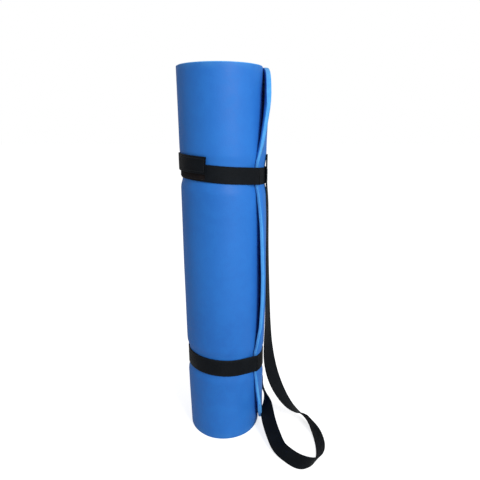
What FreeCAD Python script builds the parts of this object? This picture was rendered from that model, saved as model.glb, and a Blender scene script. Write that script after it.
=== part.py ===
"""Foam sleeping pad: a closed-cell mat rolled round its own end, held by a two-band carrying sling.

Frame: millimetres, +Z up. The origin is on the roll's axis, in the face that it stands on.
The mat's free edge looks towards the front right, -Y being the front and +X the right.
"""
import FreeCAD, Part

import math
import os

import Sketcher

DRIVING = {
    # the mat, rolled up
    "mat_width": 600.0,
    "roll_radius": 68.0,
    "layer_pitch": 7.4,
    "core_radius": 11.0,
    "free_edge_azimuth": 58.0,
    # webbing and hook-and-loop tape
    "strap_width": 25.0,
    "webbing": 1.6,
    "pile": 1.0,
    "hook": 0.8,
    "clearance": 0.3,
    "tape_margin": 2.0,
    # the two bands
    "upper_height": 450.5,
    "upper_tilt": 4.45,
    "upper_width": 25.0,
    "upper_lap": 11.0,
    "upper_root": 192.5,
    "lower_height": 134.3,
    "lower_tilt": 3.25,
    "lower_width": 30.0,
    "lower_lap": 3.0,
    "lower_root": 92.0,
    "tab_angle": 93.0,
    "pile_angle": 85.0,
    "hook_angle": 50.0,
    # the box of stitching at each end of the carrying strap
    "thread": 0.6,
    "tack_height": 18.0,
    "tack_width": 17.0,
}

# The carrying strap from its upper sewn end to its lower one. Each row is the middle of the webbing
# and the direction from one edge to the other: down the roll's side, out to the loop that stands on
# its edge on the floor, and back up to the lower band.
STRAP_ROUTE = [
    ((71.4, -5.0, 476.0), (-0.07, -1.00, 0.00)),
    ((71.4, -5.0, 436.0), (-0.07, -1.00, 0.00)),
    ((72.2, -4.5, 405.0), (-0.16, -0.99, 0.00)),
    ((74.3, -4.0, 322.0), (-0.16, -0.99, 0.00)),
    ((76.5, -4.0, 233.0), (-0.29, -0.96, 0.00)),
    ((77.4, -4.0, 190.0), (-0.41, -0.91, 0.00)),
    ((78.2, -4.7, 150.0), (-0.62, -0.78, 0.00)),
    ((81.0, -5.2, 120.0), (-0.78, -0.62, -0.10)),
    ((88.6, -6.1, 86.0), (-0.79, -0.56, -0.23)),
    ((101.3, -7.9, 56.0), (-0.60, -0.76, -0.24)),
    ((115.0, -8.4, 34.5), (-0.33, -0.93, -0.14)),
    ((127.0, -9.5, 22.0), (-0.20, -0.95, 0.20)),
    ((139.0, -14.0, 15.0), (-0.26, -0.76, 0.60)),
    ((147.9, -25.0, 13.1), (-0.22, -0.45, 0.86)),
    ((154.7, -48.0, 13.1), (-0.03, -0.10, 0.99)),
    ((161.0, -74.0, 12.5), (0.32, 0.02, 0.94)),
    ((162.6, -95.5, 12.0), (0.47, -0.03, 0.88)),
    ((161.5, -111.5, 11.8), (0.52, -0.09, 0.85)),
    ((158.0, -125.0, 11.8), (0.50, -0.18, 0.85)),
    ((152.0, -135.5, 12.0), (0.40, -0.29, 0.87)),
    ((142.8, -142.8, 12.6), (0.23, -0.29, 0.93)),
    ((132.3, -144.0, 13.1), (0.01, -0.03, 1.00)),
    ((123.8, -141.2, 12.7), (0.08, 0.30, 0.95)),
    ((113.5, -132.5, 12.2), (0.28, 0.36, 0.88)),
    ((104.5, -121.8, 12.0), (0.36, 0.34, 0.87)),
    ((96.5, -111.2, 12.2), (0.48, 0.32, 0.80)),
    ((90.8, -99.5, 14.0), (0.78, 0.18, 0.58)),
    ((86.0, -84.0, 18.0), (0.89, 0.03, 0.44)),
    ((81.0, -66.0, 23.5), (0.91, -0.05, 0.38)),
    ((77.2, -48.0, 30.0), (0.92, -0.08, 0.34)),
    ((75.4, -31.0, 35.0), (0.80, -0.50, 0.30)),
    ((74.9, -16.0, 41.0), (0.45, -0.84, 0.30)),
    ((71.8, 1.0, 51.0), (0.10, -0.97, 0.22)),
    ((64.9, 27.5, 68.0), (0.40, -0.91, 0.06)),
    ((61.4, 36.6, 90.0), (0.50, -0.86, 0.02)),
    ((61.2, 36.9, 112.0), (0.52, -0.86, 0.00)),
    ((61.2, 36.9, 152.0), (0.52, -0.86, 0.00)),
]

doc = FreeCAD.newDocument("foam_sleeping_pad")
dims = doc.addObject("Spreadsheet::Sheet", "dims")
dims.Label = "dims"
for row, (alias, value) in enumerate(DRIVING.items(), start=1):
    dims.set(f"A{row}", alias)
    dims.set(f"B{row}", str(value))
    dims.setAlias(f"B{row}", alias)
doc.recompute()

X_AXIS = FreeCAD.Vector(1, 0, 0)
Y_AXIS = FreeCAD.Vector(0, 1, 0)
Z_AXIS = FreeCAD.Vector(0, 0, 1)
ORIGIN = FreeCAD.Vector(0, 0, 0)
START, END, CENTRE = 1, 2, 3
QUARTERS = range(4)


def size(alias):
    """The number in one cell of the sheet."""
    return float(dims.get(alias))


def size_of(expression):
    """The value of a sum of the sheet's cells."""
    return sum(size(term.strip().removeprefix("dims.")) for term in expression.split("+"))


def bound(obj, **expressions):
    """Bind properties of an object to expressions of the sheet."""
    for name, text in expressions.items():
        obj.setExpression(name, text)


def turned(angle):
    """The placement that turns something about the roll's axis."""
    return FreeCAD.Placement(ORIGIN, FreeCAD.Rotation(Z_AXIS, angle))


def edge_angle():
    """Where the mat's free edge stands, counterclockwise from +X."""
    return size("free_edge_azimuth") - 90.0


def wound_outline(sketch, offset, bridged):
    """One closed turn of the wound mat, drawn as four tangent arcs from its free edge at local +X.

    Each quarter's radius is a quarter of the layer pitch less than the one before. The turn closes
    with the step of the free edge, or where it is bridged, with the straight span of a taut band.
    """
    step = size("layer_pitch") / 4
    first = size("roll_radius") + (size_of(offset) if offset else 0.0)
    centres = [(0, 0), (0, step), (-step, step), (-step, 0)]
    base = sketch.GeometryCount
    for k in QUARTERS:
        circle = Part.Circle(FreeCAD.Vector(*centres[k], 0), Z_AXIS, first - k * step)
        last = math.radians(90 * (k + 1))
        if bridged and k == 3:
            last -= math.acos((first - 3 * step) / (first + step))
        sketch.addGeometry(Part.ArcOfCircle(circle, math.radians(90 * k), last))
    tail = sketch.Geometry[base + 3].EndPoint
    sketch.addGeometry(Part.LineSegment(tail, FreeCAD.Vector(first, 0, 0)))
    arcs, line = [base + k for k in QUARTERS], base + 4
    rules = [
        Sketcher.Constraint("Coincident", arcs[0], CENTRE, -1, START),
        Sketcher.Constraint("PointOnObject", arcs[0], START, -1),
        Sketcher.Constraint("Coincident", line, END, arcs[0], START),
    ]
    for k in range(3):
        across = "Horizontal" if k == 1 else "Vertical"
        rules += [
            Sketcher.Constraint("Coincident", arcs[k], END, arcs[k + 1], START),
            Sketcher.Constraint(across, arcs[k], END, arcs[k], CENTRE),
            Sketcher.Constraint(across, arcs[k], END, arcs[k + 1], CENTRE),
        ]
    if bridged:
        rules.append(Sketcher.Constraint("Tangent", arcs[3], END, line, START))
    else:
        rules.append(Sketcher.Constraint("Coincident", arcs[3], END, line, START))
        rules.append(Sketcher.Constraint("Horizontal", line))
    sketch.addConstraint(rules)
    for k in QUARTERS:
        index = sketch.addConstraint(Sketcher.Constraint("Radius", arcs[k], first - k * step))
        text = f"dims.roll_radius - {k} * dims.layer_pitch / 4" + (f" + {offset}" if offset else "")
        sketch.setExpression(f"Constraints[{index}]", text)


def foam_pad():
    """The mat: a solid roll with the step of its free edge and the hole in the middle of the winding."""
    body = doc.addObject("PartDesign::Body", "foam_pad")
    plane = next(f for f in body.Origin.OriginFeatures if f.Role == "XY_Plane")
    sketch = body.newObject("Sketcher::SketchObject", "mat_outline")
    sketch.AttachmentSupport = (plane, "")
    sketch.MapMode = "FlatFace"
    sketch.AttachmentOffset = turned(edge_angle())
    wound_outline(sketch, "", bridged=False)
    hole = sketch.addGeometry(Part.Circle(ORIGIN, Z_AXIS, size("core_radius")))
    sketch.addConstraint(Sketcher.Constraint("Coincident", hole, CENTRE, -1, START))
    index = sketch.addConstraint(Sketcher.Constraint("Radius", hole, size("core_radius")))
    sketch.setExpression(f"Constraints[{index}]", "dims.core_radius")
    pad = body.newObject("PartDesign::Pad", "mat_roll")
    pad.Profile = sketch
    bound(pad, Length="dims.mat_width")
    return body


def sleeve(name, inner, thick):
    """A wall of even thickness round the whole roll, from which the bands and tapes are cut."""
    sketch = doc.addObject("Sketcher::SketchObject", f"{name}_outline")
    sketch.Placement = turned(edge_angle())
    wound_outline(sketch, inner, bridged=True)
    wound_outline(sketch, f"{inner} + {thick}", bridged=True)
    wall = doc.addObject("Part::Extrusion", f"{name}_sleeve")
    wall.Base = sketch
    wall.DirMode = "Normal"
    wall.Solid = True
    bound(wall, LengthFwd="dims.mat_width")
    return wall


def slab(name, side, width, rise):
    """A tilted slice as high as one band, with its middle plane raised by its lap over the first turn."""
    block = doc.addObject("Part::Box", f"{name}_slab")
    span = 4 * size("roll_radius")
    tilt = FreeCAD.Rotation(Y_AXIS, size(f"{side}_tilt"))
    half = FreeCAD.Vector(span / 2, span / 2, width / 2)
    middle = FreeCAD.Vector(0, 0, size(f"{side}_height") + rise)
    block.Placement = FreeCAD.Placement(middle - tilt.multVec(half), tilt)
    bound(block, Length="4 * dims.roll_radius", Width="4 * dims.roll_radius")
    block.Height = width
    return block


def wedge(name, start, span):
    """A slice of pie round the roll's axis, from one angle past the free edge."""
    pie = doc.addObject("Part::Cylinder", f"{name}_wedge")
    bound(pie, Radius="2 * dims.roll_radius", Height="dims.mat_width", Angle=span)
    pie.Placement = turned(edge_angle() + start)
    return pie


def cut_from(name, *shapes):
    """A sub-part: what the given shapes have in common."""
    piece = doc.addObject("Part::MultiCommon", name)
    piece.Shapes = list(shapes)
    return piece


def fastened_band(side, walls):
    """One band: its first turn round the roll, its free tab, and the tapes that hold the tab down."""
    root, tab = size(f"{side}_root"), size("tab_angle")
    width, lap = size(f"{side}_width"), size(f"{side}_lap")
    tape = width - 2 * size("tape_margin")
    whole_turn = slab(f"{side}_band", side, width, 0)
    lapped = slab(f"{side}_tab", side, width, lap)
    pile_strip = slab(f"{side}_pile", side, tape, 0)
    hook_strip = slab(f"{side}_hook", side, tape, lap)
    pile_start = root + tab - size("pile_angle") - 2
    hook_start = root + tab - size("hook_angle") - 2
    return [
        cut_from(f"{side}_band", walls["band"], whole_turn),
        cut_from(
            f"{side}_tab", walls["tab"], lapped, wedge(f"{side}_tab", root, "dims.tab_angle")
        ),
        cut_from(
            f"{side}_pile_tape",
            walls["pile"],
            pile_strip,
            wedge(f"{side}_pile", pile_start, "dims.pile_angle"),
        ),
        cut_from(
            f"{side}_hook_tape",
            walls["hook"],
            hook_strip,
            wedge(f"{side}_hook", hook_start, "dims.hook_angle"),
        ),
    ]


def strap_turn(across, along):
    """The rotation of one section: its X across the webbing and its Y through the thickness."""
    along = along.normalize()
    across = FreeCAD.Vector(*across)
    across = (across - along * across.dot(along)).normalize()
    return FreeCAD.Rotation(across, along.cross(across), along, "XYZ")


def carry_strap():
    """The webbing of the carrying strap, lofted from each row of its route to the next."""
    middles = [FreeCAD.Vector(*middle) for middle, _ in STRAP_ROUTE]
    last = len(middles) - 1
    sections = []
    for k, (_, across) in enumerate(STRAP_ROUTE):
        turn = strap_turn(across, middles[min(k + 1, last)] - middles[max(k - 1, 0)])
        section = doc.addObject("Part::Plane", f"strap_section_{k + 1}")
        corner = FreeCAD.Vector(size("strap_width") / 2, size("webbing") / 2, 0)
        section.Placement = FreeCAD.Placement(middles[k] - turn.multVec(corner), turn)
        bound(section, Length="dims.strap_width", Width="dims.webbing")
        sections.append(section)
    spans = []
    for k, ends in enumerate(zip(sections, sections[1:]), start=1):
        span = doc.addObject("Part::Loft", f"strap_span_{k}")
        span.Sections = list(ends)
        span.Solid = True
        span.Ruled = True
        spans.append(span)
    strap = doc.addObject("Part::MultiFuse", "carry_strap")
    strap.Shapes = spans
    length = sum((b - a).Length for a, b in zip(middles, middles[1:]))
    return strap, length


def tack(side, row, below):
    """The box of stitches with its two diagonals that sews one end of the strap to its band."""
    middle, across = STRAP_ROUTE[row]
    across = FreeCAD.Vector(*across).normalize()
    outward = FreeCAD.Vector(middle[0], middle[1], 0)
    outward = (outward - across * outward.dot(across)).normalize()
    turn = FreeCAD.Rotation(across, outward.cross(across), outward, "XYZ")
    height, width, thread = size("tack_height"), size("tack_width"), size("thread")
    lift = size("webbing") / 2 + size("clearance")
    face = FreeCAD.Vector(middle[0], middle[1], middle[2] - below) + outward * lift
    slope = math.degrees(math.atan2(height, width))
    diagonal = math.hypot(height, width) - 2 * thread
    rows = [
        (width, 0, (0, height / 2)),
        (width, 0, (0, -height / 2)),
        (height, 90, (width / 2, 0)),
        (height, 90, (-width / 2, 0)),
        (diagonal, slope, (0, 0)),
        (diagonal, -slope, (0, 0)),
    ]
    stitches = []
    for k, (length, angle, (u, v)) in enumerate(rows, start=1):
        stitch = doc.addObject("Part::Box", f"{side}_stitch_{k}")
        stitch.Length = length + thread
        bound(stitch, Width="dims.thread", Height="dims.thread / 2")
        spin = turn.multiply(FreeCAD.Rotation(Z_AXIS, angle))
        corner = spin.multVec(FreeCAD.Vector(stitch.Length.Value / 2, thread / 2, 0))
        place = face + turn.multVec(FreeCAD.Vector(u, v, 0)) - corner
        stitch.Placement = FreeCAD.Placement(place, spin)
        stitches.append(stitch)
    sewn = doc.addObject("Part::MultiFuse", f"{side}_tack")
    sewn.Shapes = stitches
    return sewn


on_band = "dims.clearance + dims.webbing"
on_pile = f"{on_band} + dims.pile + dims.clearance"
on_hook = f"{on_pile} + dims.hook"
sleeves = {
    "band": sleeve("band", "dims.clearance", "dims.webbing"),
    "pile": sleeve("pile", on_band, "dims.pile"),
    "hook": sleeve("hook", on_pile, "dims.hook"),
    "tab": sleeve("tab", on_hook, "dims.webbing"),
}
strap, strap_length = carry_strap()
nodes = [foam_pad(), strap]
nodes += fastened_band("upper", sleeves)
nodes += fastened_band("lower", sleeves)
nodes += [tack("upper", 0, 31.0), tack("lower", len(STRAP_ROUTE) - 1, 21.0)]
doc.recompute()

failed = [o.Name for o in doc.Objects if "Invalid" in o.State or "Error" in o.State]
if failed:
    raise RuntimeError(f"these objects failed: {failed}")
for node in nodes:
    node.Label = node.Name
    if node.Shape.isNull() or not node.Shape.isValid():
        raise RuntimeError(f"{node.Label} has no valid shape")

os.makedirs("parts", exist_ok=True)
for node in nodes:
    node.Shape.exportStep(f"parts/{node.Label}.step")
    box = node.Shape.BoundBox
    print(
        f"{node.Label}: {len(node.Shape.Solids)} solid, {node.Shape.Volume / 1000:.2f} cm3, "
        f"z {box.ZMin:.1f} to {box.ZMax:.1f}"
    )
print(f"carrying strap: {strap_length:.0f} mm long")
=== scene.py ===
"""Looks of the foam sleeping pad: the wound mat, its webbing bands and tabs, and the carrying strap.

Everything is in metres in the CAD's frame; sizes below are in millimetres and scaled once by MM.
"""
import math

import bpy
import numpy as np
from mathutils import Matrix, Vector


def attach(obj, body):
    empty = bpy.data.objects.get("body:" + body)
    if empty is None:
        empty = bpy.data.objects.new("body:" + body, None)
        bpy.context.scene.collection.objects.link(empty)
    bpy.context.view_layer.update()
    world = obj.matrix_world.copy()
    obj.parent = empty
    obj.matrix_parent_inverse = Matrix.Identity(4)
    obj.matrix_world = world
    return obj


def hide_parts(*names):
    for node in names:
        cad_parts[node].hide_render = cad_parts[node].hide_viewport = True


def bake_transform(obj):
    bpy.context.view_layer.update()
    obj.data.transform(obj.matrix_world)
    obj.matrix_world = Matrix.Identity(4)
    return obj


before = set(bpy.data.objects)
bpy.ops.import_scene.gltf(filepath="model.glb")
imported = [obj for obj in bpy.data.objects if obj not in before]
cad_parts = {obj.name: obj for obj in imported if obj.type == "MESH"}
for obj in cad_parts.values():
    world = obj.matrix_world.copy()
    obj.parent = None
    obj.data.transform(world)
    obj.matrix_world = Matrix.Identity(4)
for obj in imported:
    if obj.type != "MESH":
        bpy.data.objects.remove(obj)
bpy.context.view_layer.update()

MM = 0.001

# ---------------------------------------------------------------- sizes, as in the CAD model
MAT_WIDTH = 600.0
ROLL_RADIUS = 68.0
LAYER_PITCH = 7.4
MAT_THICK = 7.0
CORE_RADIUS = 11.0
FREE_EDGE_AZIMUTH = 58.0
STRAP_WIDTH = 25.0
WEBBING = 1.6
TAB_ANGLE = 93.0
BANDS = {
    "upper": {"height": 450.5, "tilt": 4.45, "width": 25.0, "lap": 11.0, "root": 192.5},
    "lower": {"height": 134.3, "tilt": 3.25, "width": 30.0, "lap": 3.0, "root": 92.0},
}
STRAP_ROUTE = [
    ((71.4, -5.0, 476.0), (-0.07, -1.00, 0.00)),
    ((71.4, -5.0, 436.0), (-0.07, -1.00, 0.00)),
    ((72.2, -4.5, 405.0), (-0.16, -0.99, 0.00)),
    ((74.3, -4.0, 322.0), (-0.16, -0.99, 0.00)),
    ((76.5, -4.0, 233.0), (-0.29, -0.96, 0.00)),
    ((77.4, -4.0, 190.0), (-0.41, -0.91, 0.00)),
    ((78.2, -4.7, 150.0), (-0.62, -0.78, 0.00)),
    ((81.0, -5.2, 120.0), (-0.78, -0.62, -0.10)),
    ((88.6, -6.1, 86.0), (-0.79, -0.56, -0.23)),
    ((101.3, -7.9, 56.0), (-0.60, -0.76, -0.24)),
    ((115.0, -8.4, 34.5), (-0.33, -0.93, -0.14)),
    ((127.0, -9.5, 22.0), (-0.20, -0.95, 0.20)),
    ((139.0, -14.0, 15.0), (-0.26, -0.76, 0.60)),
    ((147.9, -25.0, 13.1), (-0.22, -0.45, 0.86)),
    ((154.7, -48.0, 13.1), (-0.03, -0.10, 0.99)),
    ((161.0, -74.0, 12.5), (0.32, 0.02, 0.94)),
    ((162.6, -95.5, 12.0), (0.47, -0.03, 0.88)),
    ((161.5, -111.5, 11.8), (0.52, -0.09, 0.85)),
    ((158.0, -125.0, 11.8), (0.50, -0.18, 0.85)),
    ((152.0, -135.5, 12.0), (0.40, -0.29, 0.87)),
    ((142.8, -142.8, 12.6), (0.23, -0.29, 0.93)),
    ((132.3, -144.0, 13.1), (0.01, -0.03, 1.00)),
    ((123.8, -141.2, 12.7), (0.08, 0.30, 0.95)),
    ((113.5, -132.5, 12.2), (0.28, 0.36, 0.88)),
    ((104.5, -121.8, 12.0), (0.36, 0.34, 0.87)),
    ((96.5, -111.2, 12.2), (0.48, 0.32, 0.80)),
    ((90.8, -99.5, 14.0), (0.78, 0.18, 0.58)),
    ((86.0, -84.0, 18.0), (0.89, 0.03, 0.44)),
    ((81.0, -66.0, 23.5), (0.91, -0.05, 0.38)),
    ((77.2, -48.0, 30.0), (0.92, -0.08, 0.34)),
    ((75.4, -31.0, 35.0), (0.80, -0.50, 0.30)),
    ((74.9, -16.0, 41.0), (0.45, -0.84, 0.30)),
    ((71.8, 1.0, 51.0), (0.10, -0.97, 0.22)),
    ((64.9, 27.5, 68.0), (0.40, -0.91, 0.06)),
    ((61.4, 36.6, 90.0), (0.50, -0.86, 0.02)),
    ((61.2, 36.9, 112.0), (0.52, -0.86, 0.00)),
    ((61.2, 36.9, 152.0), (0.52, -0.86, 0.00)),
]

# ---------------------------------------------------------------- how the foam sits
CORNER = 50.0
# How far the free edge springs off the roll at each height: 0 lies on it, 1 runs on dead straight.
SPRING = [
    (0, 0.56), (45, 0.50), (63, 0.36), (86, 0.12), (106, 0.0), (131, 0.0), (156, 0.0), (168, 0.10),
    (199, 0.39), (245, 0.50), (289, 0.53), (332, 0.46), (369, 0.36), (395, 0.20), (424, 0.0),
    (448, 0.0), (467, 0.0), (486, 0.28), (520, 0.58), (544, 0.77), (576, 0.80), (600, 0.80),
]
SPRING_FROM = 70.0
PINCH = 2.9
BULGE = 1.0
# How much deeper than in the CAD model the bands and all that is sewn to them sit in the soft foam.
SUNK = 1.3
# How much nearer to the axis the carrying strap's sewn ends lie than in the CAD model.
SEAT = 2.1
# How far the middles of the band and of what is sewn to it stand off the mat's outline, before they sink.
BAND_OFFSET = -0.45
PILE_OFFSET = 0.87
HOOK_OFFSET = 1.82
TAB_OFFSET = 3.07
# How much lower the tab lies at its sewn root, and how much its cut end lifts.
ROOT_DROP = 1.55
END_LIFT = 0.4
# The turn that each tape covers, and how far short of the tab's end they stop, in degrees.
PILE_ANGLE = 85
HOOK_ANGLE = 50
TAPE_INSET = 2
# The roll isn't quite straight: how far its middle stands to the right at each height.
LEAN = [(0, 1.2), (60, 1.0), (130, 1.0), (200, 1.2), (300, 1.7), (450, 2.7), (600, 3.3)]
EDGE_ANGLE = math.radians(FREE_EDGE_AZIMUTH - 90.0)
STEP = LAYER_PITCH / 4


def smooth(x):
    x = np.clip(x, 0.0, 1.0)
    return x * x * (3 - 2 * x)


def wound(psi, offset):
    """A point of the wound outline, psi degrees past the free edge, its outward direction and its turn."""
    psi = np.asarray(psi, float)
    turn = np.floor(psi / 360.0 + 1e-9)
    local = psi - 360.0 * turn
    quarter = np.minimum(np.floor(local / 90.0 + 1e-9), 3).astype(int)
    centres = np.array([(0, 0), (0, STEP), (-STEP, STEP), (-STEP, 0)], float)
    radius = ROLL_RADIUS - quarter * STEP - LAYER_PITCH * turn + offset
    angle = np.radians(local)
    x = centres[quarter, 0] + radius * np.cos(angle)
    y = centres[quarter, 1] + radius * np.sin(angle)
    c, s = math.cos(EDGE_ANGLE), math.sin(EDGE_ANGLE)
    place = np.stack([c * x - s * y, s * x + c * y], -1)
    out = np.stack([np.cos(angle + EDGE_ANGLE), np.sin(angle + EDGE_ANGLE)], -1)
    return place, out


def waves(x, y, z, seed):
    """A smooth repeatable unevenness between about -1 and 1."""
    rng = np.random.default_rng(seed)
    total = np.zeros(np.broadcast(x, y, z).shape)
    for _ in range(7):
        k = rng.normal(size=3) * np.array([0.045, 0.045, 0.022])
        total = total + np.sin(k[0] * x + k[1] * y + k[2] * z + rng.uniform(0, 6.28))
    return total / 3.2


def band_middle(side, x):
    b = BANDS[side]
    return b["height"] - np.asarray(x) * math.tan(math.radians(b["tilt"]))


def sunk_at(x):
    """How deep the bands sit: fully on the left, not at all on the right over the free edge."""
    return SUNK * (1 - smooth((np.asarray(x) + 20) / 80))


def pinch_at(x, z):
    """How far the foam is drawn in under the bands, and how far it swells between them."""
    total = np.zeros(np.broadcast(x, z).shape)
    for side, b in BANDS.items():
        beyond = np.abs(z - band_middle(side, x)) - b["width"] / 2
        total = np.maximum(total, 1 - smooth((beyond + 1.0) / 17.0))
    between = np.interp(z, [0, 90, 150, 290, 420, 470, 600], [0.1, 0.3, 0.6, 1.0, 0.7, 0.5, 1.0])
    return BULGE * between * (1 - total) - (PINCH - SUNK + sunk_at(x)) * total


# ---------------------------------------------------------------- mesh helpers
def new_mesh(name, points, faces, materials, picks=None, smooth_faces=True):
    mesh = bpy.data.meshes.new(name)
    points = np.array(points, float)
    points[:, 0] += np.interp(points[:, 2], *np.array(LEAN, float).T)
    mesh.from_pydata((points * MM).tolist(), [], faces)
    for m in materials:
        mesh.materials.append(m)
    if picks is not None:
        mesh.polygons.foreach_set("material_index", np.asarray(picks, np.int32))
    mesh.polygons.foreach_set("use_smooth", np.full(len(mesh.polygons), smooth_faces))
    mesh.update()
    obj = bpy.data.objects.new(name, mesh)
    bpy.context.scene.collection.objects.link(obj)
    return obj


def lay_uv(obj, uv, name="weave"):
    """One UV pair in metres for each point of the mesh, so that a weave keeps its real size."""
    layer = obj.data.uv_layers.new(name=name)
    index = np.zeros(len(obj.data.loops), np.int32)
    obj.data.loops.foreach_get("vertex_index", index)
    layer.data.foreach_set("uv", (np.asarray(uv) * MM)[index].astype(np.float32).ravel())


def grid_faces(rows, cols, wrap):
    last = cols if wrap else cols - 1
    i = np.arange(rows - 1)[:, None] * cols
    j = np.arange(last)[None, :]
    k = (j + 1) % cols
    return np.stack([i + j, i + k, i + cols + k, i + cols + j], -1).reshape(-1, 4).tolist()


def ribbon(name, middles, across, width, thick, material, cup=0.0, bow=None, edge=1.18):
    """Webbing with rounded, slightly thicker selvedges along a line of middles."""
    middles, across = np.asarray(middles, float), np.asarray(across, float)
    along = np.gradient(middles, axis=0)
    along /= np.linalg.norm(along, axis=1)[:, None]
    across = across - along * (across * along).sum(1)[:, None]
    across /= np.linalg.norm(across, axis=1)[:, None]
    out = np.cross(along, across)
    half = width / 2
    a = np.array([-1, -0.985, -0.93, -0.84, -0.6, -0.3, 0, 0.3, 0.6, 0.84, 0.93, 0.985, 1]) * half
    b = np.array([0, 0.36, 0.5 * edge, 0.5, 0.5, 0.5, 0.5, 0.5, 0.5, 0.5, 0.5 * edge, 0.36, 0]) * thick
    ring_a = np.concatenate([a, a[-2:0:-1]])
    ring_b = np.concatenate([b, -b[-2:0:-1]])
    lift = cup * (1 - (ring_a / half) ** 2)
    if bow is None:
        bow = np.ones(len(middles))
    rise = ring_b[None, :] + lift[None, :] * np.asarray(bow)[:, None]
    points = (
        middles[:, None, :]
        + across[:, None, :] * ring_a[None, :, None]
        + out[:, None, :] * rise[:, :, None]
    )
    rows, cols = len(middles), len(ring_a)
    faces = grid_faces(rows, cols, True)
    faces.append(list(range(cols)))
    faces.append([(rows - 1) * cols + c for c in range(cols - 1, -1, -1)])
    obj = new_mesh(name, points.reshape(-1, 3), faces, [material])
    length = np.concatenate([[0], np.cumsum(np.linalg.norm(np.diff(middles, axis=0), axis=1))])
    uv = np.stack([np.tile(ring_a, rows), np.repeat(length, cols)], 1)
    lay_uv(obj, uv)
    return obj, float(length[-1])


def threads(name, runs, radius, material):
    """Stitches: short rounded threads, each from one point to the next, bowed away from the cloth."""
    points, faces = [], []
    sides, stops = 6, 5
    for start, end, up in runs:
        start, end, up = (np.asarray(v, float) for v in (start, end, up))
        line = end - start
        side = np.cross(line / np.linalg.norm(line), up)
        for k in range(stops):
            t = k / (stops - 1)
            fat = math.sin(math.pi * (0.14 + 0.72 * t)) ** 0.5
            middle = start + line * t + up * radius * (1.1 * math.sin(math.pi * t) - 0.35)
            for j in range(sides):
                w = 2 * math.pi * j / sides
                points.append(middle + (side * math.cos(w) + up * math.sin(w)) * radius * fat)
        base = len(points) - sides * stops
        for k in range(stops - 1):
            for j in range(sides):
                n = (j + 1) % sides
                row, nxt = base + k * sides, base + (k + 1) * sides
                faces.append([row + j, row + n, nxt + n, nxt + j])
        faces.append([base + j for j in range(sides - 1, -1, -1)])
        faces.append([base + (stops - 1) * sides + j for j in range(sides)])
    return new_mesh(name, np.array(points), faces, [material])


def stitched_line(start, end, up, pitch=2.9, gap=0.7):
    """The runs of one straight row of stitches."""
    start, end = np.asarray(start, float), np.asarray(end, float)
    count = max(1, int(round(np.linalg.norm(end - start) / pitch)))
    step = (end - start) / count
    share = gap / pitch / 2
    return [(start + step * (k + share), start + step * (k + 1 - share), up) for k in range(count)]


# ---------------------------------------------------------------- materials
class Nodes:
    """A short way to write a material's node tree."""

    def __init__(self, name):
        self.material = bpy.data.materials.new(name)
        self.material.use_nodes = True
        self.tree = self.material.node_tree
        self.shader = self.tree.nodes["Principled BSDF"]
        self.object = self.add("ShaderNodeTexCoord").outputs["Object"]

    def add(self, kind, **values):
        node = self.tree.nodes.new(kind)
        for key, value in values.items():
            setattr(node, key, value)
        return node

    def join(self, source, socket):
        self.tree.links.new(source, socket)

    def noise(self, scale, detail=3.0, rough=0.5, stretch=None):
        node = self.add("ShaderNodeTexNoise")
        node.inputs["Scale"].default_value = scale
        node.inputs["Detail"].default_value = detail
        node.inputs["Roughness"].default_value = rough
        source = self.object
        if stretch:
            mapping = self.add("ShaderNodeMapping")
            mapping.inputs["Scale"].default_value = stretch
            self.join(source, mapping.inputs["Vector"])
            source = mapping.outputs["Vector"]
        self.join(source, node.inputs["Vector"])
        return node.outputs["Fac"]

    def cells(self, scale, feature="F1"):
        node = self.add("ShaderNodeTexVoronoi", feature=feature)
        node.inputs["Scale"].default_value = scale
        self.join(self.object, node.inputs["Vector"])
        return node.outputs["Distance"]

    def math(self, operation, a, b=None, c=None):
        node = self.add("ShaderNodeMath", operation=operation)
        for k, value in enumerate((a, b, c)):
            if value is None:
                continue
            if isinstance(value, (int, float)):
                node.inputs[k].default_value = value
            else:
                self.join(value, node.inputs[k])
        return node.outputs[0]

    def ramp(self, source, stops):
        node = self.add("ShaderNodeValToRGB")
        elements = node.color_ramp.elements
        while len(elements) < len(stops):
            elements.new(0.5)
        for element, (at, colour) in zip(elements, stops):
            element.position = at
            element.color = (*colour, 1)
        self.join(source, node.inputs["Fac"])
        return node.outputs["Color"]

    def mix(self, share, a, b, blend="MIX"):
        node = self.add("ShaderNodeMix", data_type="RGBA", blend_type=blend)
        for key, value in ((0, share), (6, a), (7, b)):
            if isinstance(value, tuple):
                node.inputs[key].default_value = (*value, 1)
            elif isinstance(value, (int, float)):
                node.inputs[key].default_value = value
            else:
                self.join(value, node.inputs[key])
        return node.outputs[2]

    def band(self, source, low, high, to_low=0.0, to_high=1.0):
        node = self.add("ShaderNodeMapRange", interpolation_type="SMOOTHSTEP")
        for key, value in (("From Min", low), ("From Max", high), ("To Min", to_low), ("To Max", to_high)):
            node.inputs[key].default_value = value
        self.join(source, node.inputs["Value"])
        return node.outputs["Result"]

    def bump(self, height, distance, strength=1.0, after=None):
        node = self.add("ShaderNodeBump")
        node.inputs["Distance"].default_value = distance
        node.inputs["Strength"].default_value = strength
        self.join(height, node.inputs["Height"])
        if after is not None:
            self.join(after, node.inputs["Normal"])
        return node.outputs["Normal"]

    def xyz(self, name):
        split = self.add("ShaderNodeSeparateXYZ")
        self.join(self.object, split.inputs[0])
        return split.outputs[name]

    def finish(self, colour, rough, normal, **constants):
        self.join(colour, self.shader.inputs["Base Color"])
        if isinstance(rough, (int, float)):
            self.shader.inputs["Roughness"].default_value = rough
        else:
            self.join(rough, self.shader.inputs["Roughness"])
        self.join(normal, self.shader.inputs["Normal"])
        for key, value in constants.items():
            self.shader.inputs[key.replace("_", " ")].default_value = value
        return self.material


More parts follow.
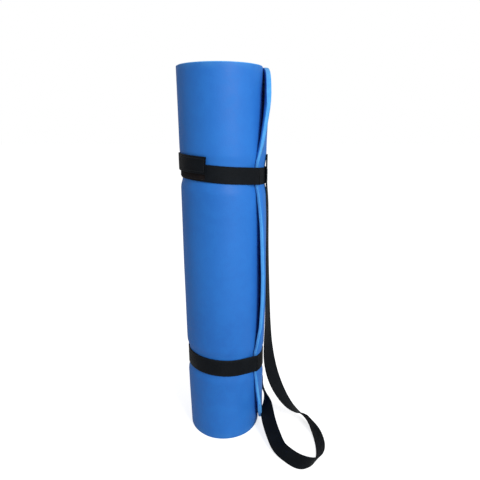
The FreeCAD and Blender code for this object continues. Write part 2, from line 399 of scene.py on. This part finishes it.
def foam_skin():
    """The mat's heat-sealed skin: smooth, finely pored, with faint clouds, creases and rubbed rims."""
    n = Nodes("foam_skin")
    clouds = n.noise(7.0, 3.0, 0.55)
    mottle = n.noise(60.0, 4.0, 0.6)
    speckle = n.noise(900.0, 2.0, 0.5)
    base = n.ramp(clouds, [(0.3, (0.015, 0.138, 0.500)), (0.7, (0.020, 0.168, 0.575))])
    base = n.mix(n.band(mottle, 0.42, 0.62, 0.0, 0.22), base, (0.020, 0.190, 0.610))
    base = n.mix(n.band(speckle, 0.58, 0.76, 0.0, 0.30), base, (0.006, 0.105, 0.420))
    z = n.xyz("Z")
    low = n.band(z, 0.0, 0.016, 1.0, 0.0)
    high = n.band(z, 0.588, 0.600, 0.0, 1.0)
    rims = n.math("MULTIPLY", n.math("ADD", low, high), n.band(mottle, 0.35, 0.7, 0.15, 0.6))
    base = n.mix(rims, base, (0.045, 0.215, 0.560))
    creases = n.noise(26.0, 2.0, 0.5, (1.0, 1.0, 4.5))
    fold = n.band(n.math("ABSOLUTE", n.math("SUBTRACT", creases, 0.5)), 0.0, 0.02, 1.0, 0.0)
    pores = n.cells(1500.0)
    normal = n.bump(n.noise(34.0, 3.0, 0.5), 0.0009, 0.35)
    normal = n.bump(fold, 0.00016, 0.25, normal)
    normal = n.bump(n.noise(420.0, 3.0, 0.6), 0.00022, 0.55, normal)
    normal = n.bump(pores, 0.00010, 0.5, normal)
    rough = n.band(mottle, 0.3, 0.7, 0.50, 0.62)
    return n.finish(base, rough, normal, Specular_IOR_Level=0.25, Sheen_Weight=0.04, Sheen_Roughness=0.45)


def foam_cut():
    """The cut faces of the mat: open cells, duller than the skin, and paler, partly their own tone and
    partly a painted highlight of the cut edge that faces the light.
    """
    n = Nodes("foam_cut_face")
    clouds = n.noise(90.0, 3.0, 0.6)
    # painted highlight: this pale colour is partly the open cells' own tone and partly the brightness of
    # the lit cut edge painted in
    base = n.ramp(clouds, [(0.3, (0.060, 0.320, 0.760)), (0.7, (0.090, 0.400, 0.840))])
    pits = n.cells(1150.0)
    # painted shade: the colour is darkened in the hollows of the open cells, the low spots of the bump
    # below
    base = n.mix(n.band(pits, 0.0, 0.35, 0.55, 0.0), base, (0.025, 0.190, 0.600))
    normal = n.bump(pits, 0.00030, 0.8)
    normal = n.bump(n.noise(260.0, 2.0, 0.5, (1.0, 1.0, 0.12)), 0.00030, 0.4, normal)
    return n.finish(base, 0.82, normal, Specular_IOR_Level=0.25, Sheen_Weight=0.12, Sheen_Roughness=0.6)


def woven(name, painted_hollow_shade, light, pick=1.55, end=1.15, depth=0.00034, rough=(0.42, 0.56)):
    """Black webbing: a plain weave of flat yarns, its picks staggered from one end to the next."""
    n = Nodes(name)
    uv = n.add("ShaderNodeUVMap", uv_map="weave").outputs["UV"]
    split = n.add("ShaderNodeSeparateXYZ")
    n.join(uv, split.inputs[0])
    u, v = split.outputs["X"], split.outputs["Y"]
    column = n.math("DIVIDE", u, end * MM)
    parity = n.math("MODULO", n.math("FLOOR", n.math("ADD", column, 200.0)), 2.0)
    row = n.math("ADD", n.math("DIVIDE", v, pick * MM), n.math("MULTIPLY", parity, 0.5))
    fu = n.math("SUBTRACT", n.math("MULTIPLY", n.math("FRACT", n.math("ADD", column, 200.0)), 2.0), 1.0)
    fv = n.math("SUBTRACT", n.math("MULTIPLY", n.math("FRACT", row), 2.0), 1.0)
    ru = n.math("SUBTRACT", 1.0, n.math("MULTIPLY", fu, fu))
    rv = n.math("SUBTRACT", 1.0, n.math("MULTIPLY", fv, fv))
    height = n.math("SQRT", n.math("MULTIPLY", ru, n.math("ADD", n.math("MULTIPLY", rv, 0.75), 0.25)))
    fibre = n.noise(1900.0, 3.0, 0.65)
    patch = n.noise(38.0, 3.0, 0.6)
    # painted shade and highlight: the hollows between the yarns are darkened and the yarn crowns lightened
    # by the weave's height
    base = n.mix(n.band(height, 0.15, 0.95), painted_hollow_shade, light)
    base = n.mix(n.band(patch, 0.42, 0.72, 0.0, 0.45), base, tuple(c * 1.7 for c in light))
    rim = n.band(n.math("ABSOLUTE", u), (STRAP_WIDTH / 2 - 1.5) * MM, STRAP_WIDTH / 2 * MM, 0.0, 0.35)
    base = n.mix(n.math("MULTIPLY", rim, fibre), base, tuple(c * 2.6 for c in light))
    normal = n.bump(height, depth, 0.9)
    normal = n.bump(fibre, 0.00010, 0.45, normal)
    tone = n.band(patch, 0.3, 0.7, rough[0], rough[1])
    return n.finish(base, tone, normal, Specular_IOR_Level=0.09, Sheen_Weight=0.0, Sheen_Roughness=0.4)


def tape_material(name, loops):
    """Hook-and-loop tape: matted loops on one side's tape, rows of stiff hooks on the other's."""
    n = Nodes(name)
    if loops:
        tufts = n.noise(1250.0, 5.0, 0.75)
        mat = n.noise(240.0, 3.0, 0.6)
        base = n.ramp(tufts, [(0.35, (0.003, 0.002, 0.002)), (0.75, (0.014, 0.010, 0.010))])
        base = n.mix(n.band(mat, 0.45, 0.7, 0.0, 0.4), base, (0.018, 0.012, 0.011))
        normal = n.bump(tufts, 0.0006, 1.0)
    else:
        tufts = n.cells(900.0)
        base = n.ramp(tufts, [(0.1, (0.020, 0.020, 0.022)), (0.6, (0.005, 0.005, 0.006))])
        normal = n.bump(tufts, 0.0007, 1.0)
    return n.finish(base, 0.85, normal, Specular_IOR_Level=0.1, Sheen_Weight=0.02, Sheen_Roughness=0.5)


def thread_material():
    n = Nodes("sewing_thread")
    twist = n.noise(2600.0, 2.0, 0.5)
    base = n.ramp(twist, [(0.3, (0.004, 0.005, 0.006)), (0.7, (0.018, 0.020, 0.024))])
    return n.finish(base, 0.55, n.bump(twist, 0.0001, 0.6), Specular_IOR_Level=0.3, Sheen_Weight=0.03)


SKIN, CUT = foam_skin(), foam_cut()
WEB = woven("webbing_weave", (0.0012, 0.0018, 0.0028), (0.0045, 0.0062, 0.0085))
PILE, HOOK = tape_material("loop_tape", True), tape_material("hook_tape", False)
THREAD = thread_material()


# ---------------------------------------------------------------- the mat
def spring_path(psi, springs):
    """The middle line of the mat's last stretch and its outward direction, at each height's spring.

    psi runs down to the free edge. The stretch unbends smoothly towards the edge, as foam that was
    wound does where nothing holds it down.
    """
    radius = ROLL_RADIUS - MAT_THICK / 2
    run = np.radians(SPRING_FROM - psi) * radius
    share = smooth((1 - psi / SPRING_FROM) / 0.8)
    gained = np.concatenate([[0], np.cumsum((share[1:] + share[:-1]) / 2 / radius * np.diff(run))])
    heading = np.radians(psi) + EDGE_ANGLE - math.pi / 2
    heading = heading[:, None] + gained[:, None] * springs[None, :]
    steps = np.diff(run)[:, None]
    line = []
    for wave in (np.cos(heading), np.sin(heading)):
        moved = np.cumsum((wave[1:] + wave[:-1]) / 2 * steps, axis=0)
        line.append(np.vstack([np.zeros((1, len(springs))), moved]))
    start = np.radians(psi[0]) + EDGE_ANGLE
    x = radius * math.cos(start) + line[0]
    y = radius * math.sin(start) + line[1]
    return np.stack([x, y], -1), np.stack([-np.sin(heading), np.cos(heading)], -1)


def wound_mat():
    turns = (ROLL_RADIUS - MAT_THICK - CORE_RADIUS) / LAYER_PITCH
    last = 360.0 * turns
    curl = math.degrees(CORNER / (ROLL_RADIUS - MAT_THICK / 2))
    corner = curl * (1 - np.cos(np.radians(np.arange(0, 91, 7.5))))
    sprung = np.arange(curl + 3, SPRING_FROM, 3.0)
    held = np.arange(SPRING_FROM, 400, 3.0)
    psi = np.concatenate([corner, sprung, held, np.arange(400, last, 5.0), [last]])
    rng = np.random.default_rng(5)

    # the profile round the sheet's section: up the outer face, over the top, down the inner, under
    near = []
    for b in BANDS.values():
        near += list(np.arange(b["height"] - 44, b["height"] + 45, 4.0))
    levels = np.unique(np.round(np.concatenate([np.arange(14, 590, 12.5), near, [1.0, 5, 595, 599.0]]), 1))
    levels = levels[np.concatenate([[True], np.diff(levels) > 1.8])]
    half = MAT_THICK / 2
    rise = np.concatenate([levels, [599.7, 600, 600, 600, 599.7], levels[::-1], [0.3, 0, 0, 0, 0.3]])
    depth = np.concatenate(
        [
            np.full(len(levels), half),
            [half - 0.3, half - 1.0, 0.0, 1.0 - half, 0.3 - half],
            np.full(len(levels), -half),
            [0.3 - half, 1.0 - half, 0.0, half - 1.0, half - 0.3],
        ]
    )
    rows, cols = len(psi), len(rise)

    # heights: rounded corners at the free edge, turns that don't end quite level
    s = np.radians(psi) * (ROLL_RADIUS - MAT_THICK / 2)
    cut = CORNER - np.sqrt(np.maximum(CORNER**2 - np.maximum(CORNER - s, 0) ** 2, 0))
    inward = smooth((psi - 200) / 500)
    wander = np.interp(psi, np.linspace(0, last, 16), rng.uniform(-1, 1, 16))
    top = MAT_WIDTH - cut - 0.3 + inward * (0.55 * wander - 0.6)
    bottom = cut + inward * (0.35 + 0.35 * wander)
    z = bottom[:, None] + (top - bottom)[:, None] * (rise / MAT_WIDTH)[None, :]

    # the middle line of the wound sheet, and where it springs off the roll
    middle, out = wound(psi, -MAT_THICK / 2)
    middle = np.repeat(middle[:, None, :], cols, 1)
    out = np.repeat(out[:, None, :], cols, 1)
    free = psi < SPRING_FROM
    heights, values = np.array(SPRING, float).T
    fine = np.linspace(0, MAT_WIDTH, 301)
    eased = np.interp(fine, heights, values)
    kernel = np.exp(-np.linspace(-2, 2, 9) ** 2)
    eased = np.convolve(np.pad(eased, 4, "edge"), kernel / kernel.sum(), "valid")
    springs = np.interp(z[0], fine, eased)
    order = np.concatenate([[SPRING_FROM], psi[free][::-1]])
    dense = np.unique(np.concatenate([order, np.linspace(0, SPRING_FROM, 120)]))[::-1]
    path, direction = spring_path(dense, springs)
    pick = np.searchsorted(-dense, -psi[free])
    middle[free], out[free] = path[pick], direction[pick]

    # thickness: softened at both ends of the sheet, pressed in under the bands
    along = s[-1] - s
    ends = np.minimum(np.minimum(s / 1.6, along / 1.6), 1.0)
    thin = 0.72 + 0.28 * np.sqrt(1 - (1 - ends) ** 2)
    x_here = middle[..., 0]
    # a press on the roll fades from its outer face to the innermost turn, and neighbours share it
    fade = [1 - smooth((turn - 360) / (last - 360)) for turn in (psi, psi + 360)]
    level = (depth[None, :] + half) / MAT_THICK
    outer_turn = fade[0][:, None] * level + fade[1][:, None] * (1 - level)
    press = pinch_at(x_here, z) * outer_turn
    under_edge = np.exp(-(((psi - 360.0) / 7.0) ** 2))[:, None]
    press = press - 0.25 * under_edge * outer_turn
    uneven = 0.28 * waves(x_here, middle[..., 1], z, 3) * outer_turn
    shift = press + uneven
    depth_now = depth[None, :] * thin[:, None] + shift
    plan = middle + out * depth_now[..., None]
    # below the lower band the roll is a little oval, deeper than it is wide
    loose = smooth((105.0 - z) / 105.0)
    plan[..., 0] *= 1 - 0.020 * loose
    plan[..., 1] *= 1 + 0.11 * loose * smooth(-plan[..., 1] / 40.0)
    points = np.concatenate([plan, z[..., None]], -1).reshape(-1, 3)

    faces = grid_faces(rows, cols, True)
    skin = (np.abs(depth) > half - 0.31) & (rise > 0.9) & (rise < 599.1)
    both = skin & np.roll(skin, -1) & (np.sign(depth) == np.sign(np.roll(depth, -1)))
    picks = np.tile(np.where(both, 0, 1), rows - 1)
    n = len(levels)
    pairs = []
    left = [cols - 2, cols - 1] + list(range(n)) + [n, n + 1]
    right = [cols - 4, cols - 5] + [2 * n + 4 - k for k in range(n)] + [n + 4, n + 3]
    for k in range(len(left) - 1):
        pairs.append((left[k], left[k + 1], right[k + 1], right[k]))
    caps = [[q[3], q[2], q[1], q[0]] for q in pairs]
    caps.append([left[0], right[0], cols - 3])
    caps.append([left[-1], n + 2, right[-1]])
    base = (rows - 1) * cols
    far = [[base + v for v in reversed(face)] for face in caps]
    faces += caps + far
    picks = np.concatenate([picks, np.ones(len(caps) + len(far), int)])
    obj = new_mesh("wound_foam_mat", points, faces, [SKIN, CUT], picks)
    line, _ = wound(psi, -MAT_THICK / 2)
    return obj, float(np.linalg.norm(np.diff(line, axis=0), axis=1).sum())


mat, mat_length = wound_mat()
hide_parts("foam_pad")
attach(mat, "pad")


# ---------------------------------------------------------------- bands, tabs and tapes
def wrapped(side, start, end, offset, raised, step=2.0):
    """The middle line of a strip wrapped on the roll and the direction across it."""
    psi = np.arange(start, end + 0.01, step)
    plan, out = wound(np.clip(psi, 0, 359.9), offset)
    sunk = sunk_at(plan[:, 0])[:, None]
    first = ROLL_RADIUS + offset
    tail = 360.0 - math.degrees(math.acos((first - 3 * STEP) / (first + STEP)))
    bridge = psi > tail
    if bridge.any():
        a, _ = wound(np.array([tail]), offset)
        b, _ = wound(np.array([0.0]), offset)
        share = ((psi[bridge] - tail) / (360.0 - tail))[:, None]
        plan[bridge] = a + (b - a) * share
        line = (b - a)[0] / np.linalg.norm(b - a)
        out[bridge] = np.array([line[1], -line[0]])
    plan = plan - out * sunk
    height = band_middle(side, plan[:, 0]) + raised
    middles = np.column_stack([plan, height])
    out = np.column_stack([out, np.zeros(len(out))])
    along = np.gradient(middles, axis=0)
    along /= np.linalg.norm(along, axis=1)[:, None]
    return middles, np.cross(out, along), out


def closed_ribbon(name, side, offset, width, thick, material):
    """A band's full turn, whose two ends meet where the strip passes over the mat's free edge."""
    middles, across, _ = wrapped(side, 0, 360, offset, 0.0, 2.0)
    middles[-1] = middles[0]
    wave = 0.22 * np.sin(np.radians(np.linspace(0, 360, len(middles)) * 3 + 40))
    middles[:, 2] += wave
    middles[-1] = middles[0]
    return ribbon(name, middles, across, width, thick, material, cup=0.12)


def seam_along(line, out, first, last):
    """The runs of a row of stitches, one to each step of a line."""
    rows = []
    for k in range(first, last):
        step = (line[k + 1] - line[k]) * 0.12
        rows.append((line[k] + step, line[k + 1] - step, out[k]))
    return rows


def fastening(side):
    b = BANDS[side]
    root, width = b["root"], b["width"]
    band, band_length = closed_ribbon(f"{side}_band_webbing", side, BAND_OFFSET, width, WEBBING, WEB)
    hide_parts(f"{side}_band")
    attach(band, "pad")

    # the pile tape, sewn to the band, and the hook tape, sewn to the underside of the tab
    tape = width - 4.0
    tape_end = root + TAB_ANGLE - TAPE_INSET
    pile_start, hook_start = tape_end - PILE_ANGLE, tape_end - HOOK_ANGLE
    middles, across, out = wrapped(side, pile_start, tape_end, PILE_OFFSET, 0.0)
    pile, _ = ribbon(f"{side}_pile_strip", middles, across, tape, 1.0, PILE, edge=0.9)
    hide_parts(f"{side}_pile_tape")
    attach(pile, "pad")
    rows = []
    for edge in (-1, 1):
        line = middles + across * edge * (tape / 2 - 1.5) + out * 0.5
        rows += seam_along(line, out, 0, len(line) - 1)
    seam = threads(f"{side}_pile_stitching", rows, 0.2, THREAD)
    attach(seam, "pad")

    middles, across, out = wrapped(side, hook_start, tape_end, HOOK_OFFSET, b["lap"])
    hook, _ = ribbon(f"{side}_hook_strip", middles, across, tape, 0.8, HOOK, edge=0.9)
    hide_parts(f"{side}_hook_tape")
    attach(hook, f"{side}_tab")

    # the tab: sewn down at its root, then lying on the tapes to its heat-cut end
    middles, across, out = wrapped(side, root, root + TAB_ANGLE, TAB_OFFSET, b["lap"])
    reach = np.linspace(0, TAB_ANGLE, len(middles))
    drop = ROOT_DROP * (1 - smooth((reach - 3.5) / 6.0))
    middles = middles - out * drop[:, None]
    lifted = END_LIFT * smooth((reach - (TAB_ANGLE - 6)) / 6)
    middles = middles + out * lifted[:, None]
    tab, tab_length = ribbon(f"{side}_tab_webbing", middles, across, width, WEBBING, WEB, cup=0.1)
    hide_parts(f"{side}_tab")
    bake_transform(tab)

    # its stitching: a box round the hook tape, and a bar tack over the root
    rows = []
    inside = width / 2 - 3.4
    begin = int(np.searchsorted(reach, TAB_ANGLE - 51))
    finish_at = int(np.searchsorted(reach, TAB_ANGLE - 3))
    top = middles + out * (WEBBING / 2 + 0.12)
    for edge in (-1, 1):
        line = top + across * edge * inside
        rows += seam_along(line, out, begin, finish_at)
    for k in (begin, finish_at):
        rows += stitched_line(top[k] - across[k] * inside, top[k] + across[k] * inside, out[k])
    seam = threads(f"{side}_tab_stitching", rows, 0.24, THREAD)
    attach(seam, f"{side}_tab")
    rows = []
    for k in (0, 1, 2):
        shift = middles[1] - middles[0]
        place = top[0] + shift * (0.5 + 0.4 * k)
        inner = width / 2 - 1.6
        rows += stitched_line(place - across[0] * inner, place + across[0] * inner, out[0], 2.2)
    bar = threads(f"{side}_root_bar_tack", rows, 0.26, THREAD)
    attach(bar, "pad")


for each in BANDS:
    fastening(each)


# ---------------------------------------------------------------- the carrying strap
def strap_line():
    """A smooth line of middles through the route, and the direction across the webbing at each."""
    middles = np.array([row[0] for row in STRAP_ROUTE])
    across = np.array([row[1] for row in STRAP_ROUTE])
    across /= np.linalg.norm(across, axis=1)[:, None]
    at = np.concatenate([[0], np.cumsum(np.linalg.norm(np.diff(middles, axis=0), axis=1))])
    fine = np.linspace(0, at[-1], 460)
    both = np.column_stack([middles, across])
    slope = np.zeros_like(both)
    gap = np.diff(at)[:, None]
    chord = np.diff(both, axis=0) / gap
    slope[1:-1] = (chord[:-1] * gap[1:] + chord[1:] * gap[:-1]) / (gap[:-1] + gap[1:])
    slope[0], slope[-1] = chord[0], chord[-1]
    k = np.clip(np.searchsorted(at, fine, "right") - 1, 0, len(at) - 2)
    h = (at[k + 1] - at[k])[:, None]
    t = (fine - at[k])[:, None] / h
    smooth_line = (
        (2 * t**3 - 3 * t**2 + 1) * both[k]
        + (t**3 - 2 * t**2 + t) * h * slope[k]
        + (3 * t**2 - 2 * t**3) * both[k + 1]
        + (t**3 - t**2) * h * slope[k + 1]
    )
    kernel = np.exp(-np.linspace(-2, 2, 13) ** 2)
    kernel /= kernel.sum()
    padded = np.pad(smooth_line, ((6, 6), (0, 0)), "reflect", reflect_type="odd")
    eased = np.stack([np.convolve(padded[:, c], kernel, "valid") for c in range(6)], 1)
    middle, turn = eased[:, :3], eased[:, 3:]
    turn /= np.linalg.norm(turn, axis=1)[:, None]
    along = np.gradient(middle, axis=0)
    along /= np.linalg.norm(along, axis=1)[:, None]
    turn = turn - along * (turn * along).sum(1)[:, None]
    turn /= np.linalg.norm(turn, axis=1)[:, None]
    # the long run lies closer to the foam than its CAD solid, and both ends sit on the sunken bands
    hanging = np.interp(middle[:, 2], [60, 120, 200, 400, 430], [0.0, 0.9, 1.5, 1.5, SEAT])
    closer = np.where(fine < at[-1] / 2, hanging, SEAT * smooth((fine - at[-1] + 110) / 60))
    outward = middle[:, :2] / np.linalg.norm(middle[:, :2], axis=1)[:, None]
    middle[:, :2] -= outward * closer[:, None]
    lowest = middle[:, 2] - np.abs(turn[:, 2]) * STRAP_WIDTH / 2 - WEBBING / 2
    middle[:, 2] += np.maximum(0.15 - lowest, 0)
    return middle, turn


strap_middle, strap_across = strap_line()
run = np.linspace(0, 1, len(strap_middle))
twisted = np.exp(-(((run - 0.545) / 0.05) ** 2))
relax = smooth(run / 0.12) * smooth((1 - run) / 0.12) * (1 - 0.8 * twisted)
strap, strap_length = ribbon(
    "carry_strap_webbing", strap_middle, strap_across, STRAP_WIDTH, WEBBING, WEB, cup=0.35, bow=relax
)
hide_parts("carry_strap")
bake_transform(strap)


def sewn_end(name, node, row, below):
    """The box of stitches with two diagonals at one end of the strap."""
    middle, across = (np.array(v, float) for v in STRAP_ROUTE[row])
    across /= np.linalg.norm(across)
    out = np.array([middle[0], middle[1], 0.0])
    out -= across * out.dot(across)
    out /= np.linalg.norm(out)
    face = middle - np.array([0, 0, below]) + out * (WEBBING / 2 + 0.15)
    face[:2] -= SEAT * middle[:2] / np.linalg.norm(middle[:2])
    up = np.array([0, 0, 1.0])
    w, h = 8.5, 9.0
    corners = [face + across * sx * w + up * sz * h for sx, sz in ((-1, -1), (1, -1), (1, 1), (-1, 1))]
    rows = []
    for a, b in ((0, 1), (1, 2), (2, 3), (3, 0), (0, 2), (1, 3)):
        rows += stitched_line(corners[a], corners[b], out, 2.4, 0.5)
    seam = threads(name, rows, 0.27, THREAD)
    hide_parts(node)
    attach(seam, "pad")


sewn_end("upper_box_stitch", "upper_tack", 0, 31.0)
sewn_end("lower_box_stitch", "lower_tack", len(STRAP_ROUTE) - 1, 21.0)

# ---------------------------------------------------------------- floor, light and camera
floor = bpy.data.meshes.new("floor")
reach_m = 14.0
corners = [(sx * reach_m, sy * reach_m, 0) for sx, sy in ((-1, -1), (1, -1), (1, 1), (-1, 1))]
floor.from_pydata(corners, [], [[0, 1, 2, 3]])
paper = Nodes("studio_floor")
grain = paper.noise(40.0, 2.0, 0.5)
tone = paper.ramp(grain, [(0.0, (0.66, 0.66, 0.66)), (1.0, (0.68, 0.68, 0.68))])
paper.finish(tone, 0.95, paper.bump(grain, 0.0001, 0.1), Specular_IOR_Level=0.0)
# the floor glows a little to the camera only, so that it meets the white background without a line
lit = paper.add("ShaderNodeLightPath").outputs["Is Camera Ray"]
paper.shader.inputs["Emission Color"].default_value = (1, 1, 1, 1)
paper.join(paper.math("MULTIPLY", lit, 0.72), paper.shader.inputs["Emission Strength"])
floor.materials.append(paper.material)
ground = bpy.data.objects.new("floor", floor)
bpy.context.scene.collection.objects.link(ground)

world = bpy.data.worlds.new("studio")
world.use_nodes = True
sky = world.node_tree
sky.nodes["Background"].inputs["Color"].default_value = (1.0, 1.0, 1.0, 1)
sky.nodes["Background"].inputs["Strength"].default_value = 0.48
# what the camera sees behind the floor is plain white; the light it gives is weaker
seen = sky.nodes.new("ShaderNodeBackground")
seen.inputs["Color"].default_value = (1.0, 1.0, 1.0, 1)
seen.inputs["Strength"].default_value = 1.0
ray, choose = sky.nodes.new("ShaderNodeLightPath"), sky.nodes.new("ShaderNodeMixShader")
sky.links.new(ray.outputs["Is Camera Ray"], choose.inputs["Fac"])
sky.links.new(sky.nodes["Background"].outputs[0], choose.inputs[1])
sky.links.new(seen.outputs[0], choose.inputs[2])
sky.links.new(choose.outputs[0], sky.nodes["World Output"].inputs["Surface"])
bpy.context.scene.world = world


def softbox(name, place, target, size, power):
    data = bpy.data.lights.new(name, "AREA")
    data.shape = "RECTANGLE"
    data.size, data.size_y = size
    data.energy = power
    obj = bpy.data.objects.new(name, data)
    bpy.context.scene.collection.objects.link(obj)
    place, target = Vector(place), Vector(target)
    obj.location = place
    obj.rotation_euler = (target - place).to_track_quat("-Z", "Y").to_euler()


softbox("key", (0.72, -1.15, 1.00), (0, 0, 0.42), (0.5, 0.8), 18.0)

camera = bpy.data.cameras.new("camera")
camera.sensor_width = 36.0
camera.lens = 34.35
camera.shift_x = -0.01875
camera.shift_y = 0.0942
camera.clip_end = 60
eye = bpy.data.objects.new("camera", camera)
eye.location = (0.04445, -0.73857, 0.51522)
eye.rotation_euler = (math.radians(71.01), 0, 0)
bpy.context.scene.collection.objects.link(eye)
bpy.context.scene.camera = eye
bpy.context.scene.view_settings.view_transform = "Standard"

print(f"mat {mat_length:.0f} mm long, strap {strap_length:.0f} mm long")
